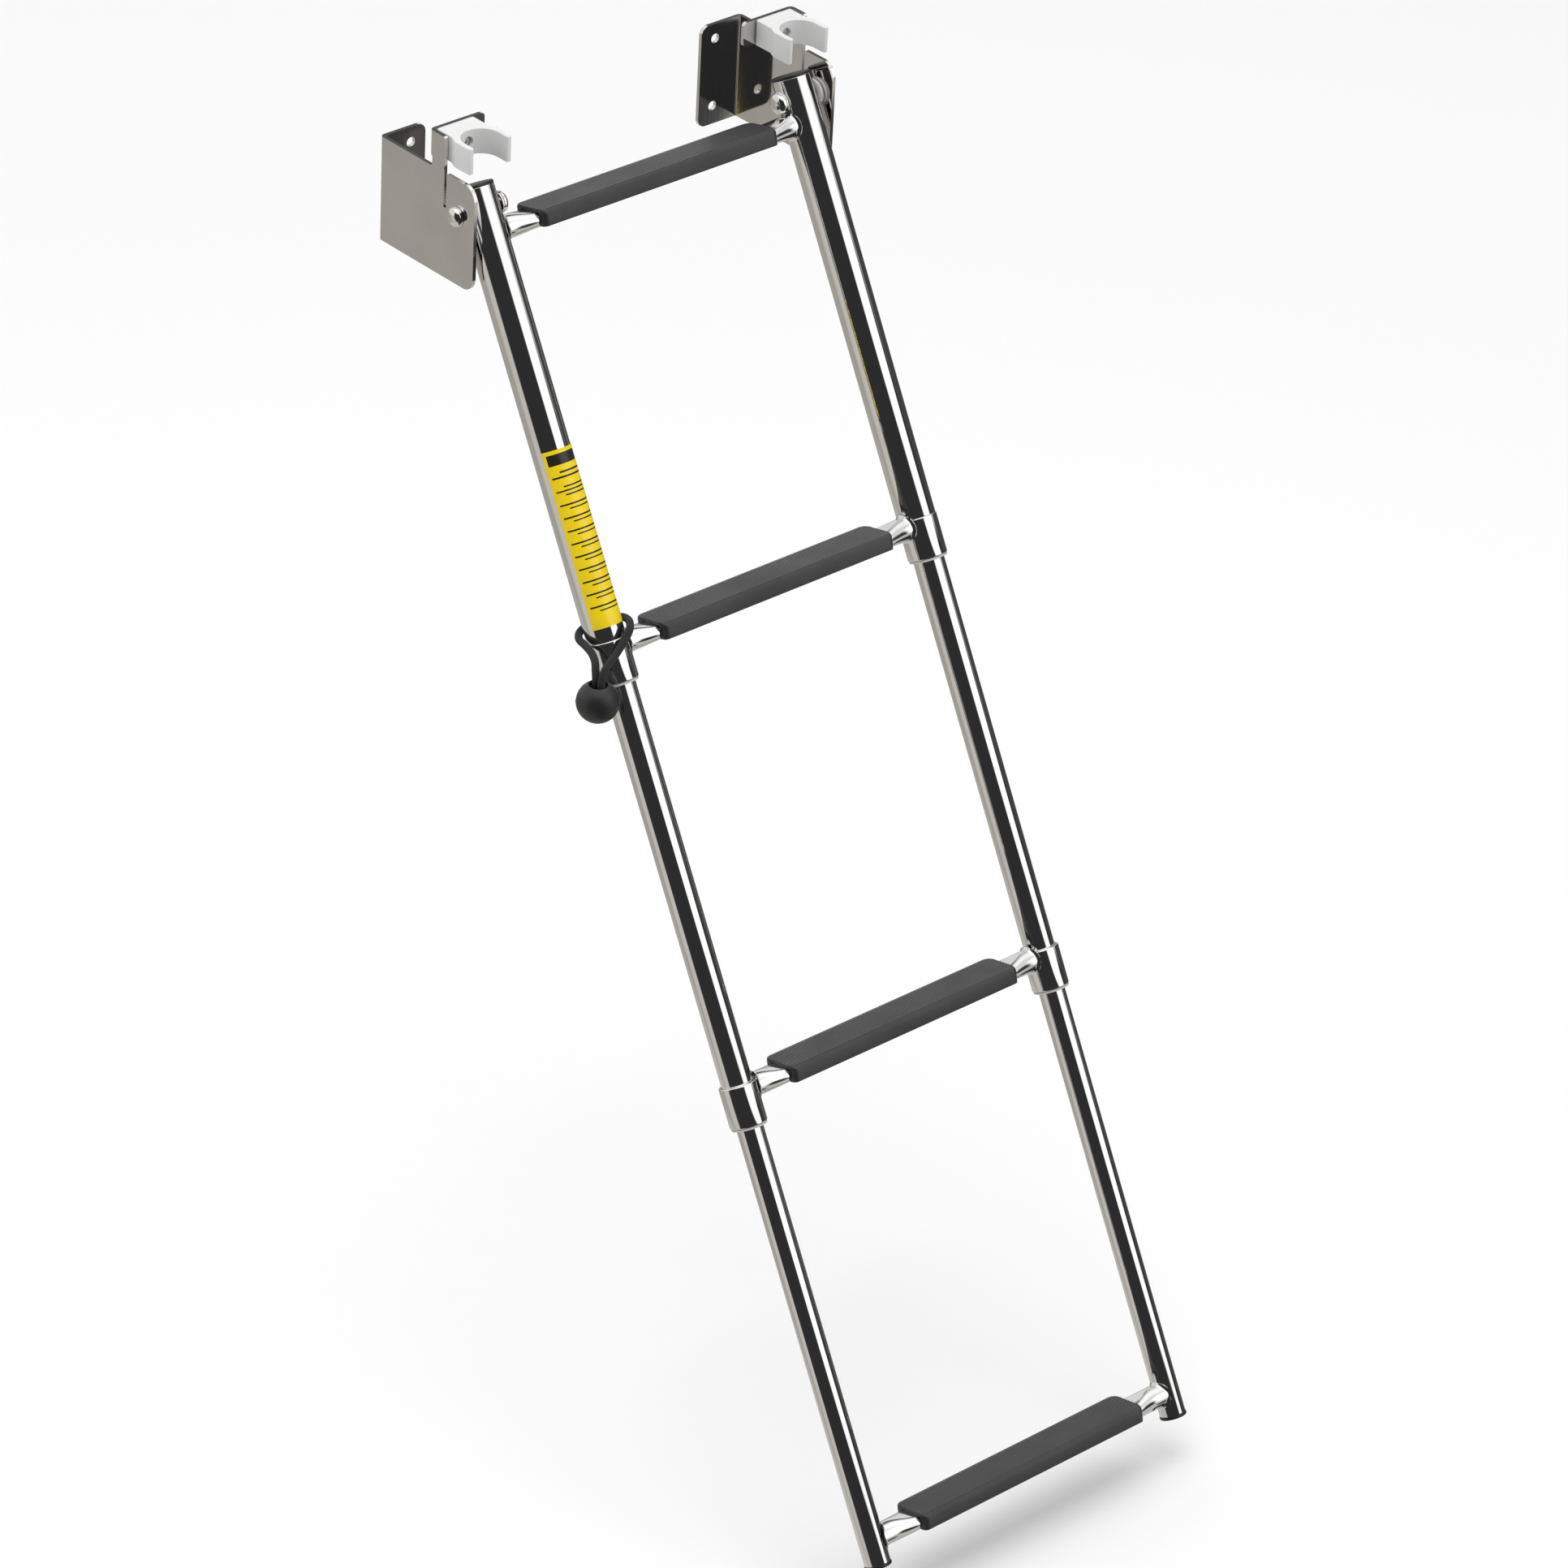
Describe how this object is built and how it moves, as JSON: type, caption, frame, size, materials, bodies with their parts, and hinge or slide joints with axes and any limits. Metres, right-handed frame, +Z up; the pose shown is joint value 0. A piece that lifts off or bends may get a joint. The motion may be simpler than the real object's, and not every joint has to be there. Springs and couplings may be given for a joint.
{
  "type": "boat boarding ladder",
  "caption": "Telescoping steel boat boarding ladder with ribbed treads, hinged on hull brackets and folding up into spring clips.",
  "frame": {"origin": "in the plane of the bracket flanges' back faces, midway between the two brackets and midway between the upper and lower screw holes", "axes": "+X to the right seen from the water, +Y into the hull, +Z up"},
  "size_m": [0.3256, 0.5128, 0.8409],
  "materials": {
    "polished_steel": "mirror-polished stainless steel",
    "fastener_steel": "polished stainless steel",
    "tread_plastic": "satin black moulded plastic",
    "cap_plastic": "black moulded plastic",
    "white_nylon": "white nylon",
    "grey_nylon": "light grey nylon",
    "ball_rubber": "black rubber",
    "cord_fabric": "black braided shock cord",
    "sticker_vinyl": null
  },
  "bodies": {
    "hull_brackets": {"bracket_left": "polished_steel", "bracket_right": "polished_steel", "clip_left": "white_nylon", "clip_right": "white_nylon", "clip_screw_left": "fastener_steel", "clip_screw_right": "fastener_steel", "clip_nut_left": "fastener_steel", "clip_nut_right": "fastener_steel", "pivot_bolt_left": "fastener_steel", "pivot_bolt_right": "fastener_steel", "pivot_washer_left": "fastener_steel", "pivot_washer_right": "fastener_steel", "pivot_spacer_left": "white_nylon", "pivot_spacer_right": "white_nylon", "pivot_nut_left": "fastener_steel", "pivot_nut_right": "fastener_steel"},
    "upper_section": {"upper_tube_left": "polished_steel", "upper_tube_right": "polished_steel", "upper_end_plug_left": "cap_plastic", "upper_end_plug_right": "cap_plastic", "upper_collar_left": "polished_steel", "upper_collar_right": "polished_steel", "upper_bush_left": "grey_nylon", "upper_bush_right": "grey_nylon", "rung_1": "polished_steel", "tread_1": "tread_plastic", "rung_2": "polished_steel", "tread_2": "tread_plastic", "label": "sticker_vinyl", "bungee_cord": "cord_fabric", "bungee_ball": "ball_rubber"},
    "middle_section": {"middle_tube_left": "polished_steel", "middle_tube_right": "polished_steel", "middle_slider_left": "white_nylon", "middle_slider_right": "white_nylon", "middle_collar_left": "polished_steel", "middle_collar_right": "polished_steel", "middle_bush_left": "grey_nylon", "middle_bush_right": "grey_nylon", "rung_3": "polished_steel", "tread_3": "tread_plastic"},
    "lower_section": {"lower_tube_left": "polished_steel", "lower_tube_right": "polished_steel", "lower_slider_left": "white_nylon", "lower_slider_right": "white_nylon", "foot_cap_left": "cap_plastic", "foot_cap_right": "cap_plastic", "rung_4": "polished_steel", "tread_4": "tread_plastic"}
  },
  "joints": [
    {"name": "ladder_swing", "type": "hinge", "parent": "hull_brackets", "child": "upper_section", "pos_m": [0, -0.077, 0.01], "axis": [-1, 0, 0], "range_deg": [0, 151.5]},
    {"name": "middle_section_slide", "type": "slide", "parent": "upper_section", "child": "middle_section", "axis": [0, 0.4772, 0.8788], "range_m": [0, 0.259]},
    {"name": "lower_section_slide", "type": "slide", "parent": "middle_section", "child": "lower_section", "axis": [0, 0.4772, 0.8788], "range_m": [0, 0.268]}
  ]
}
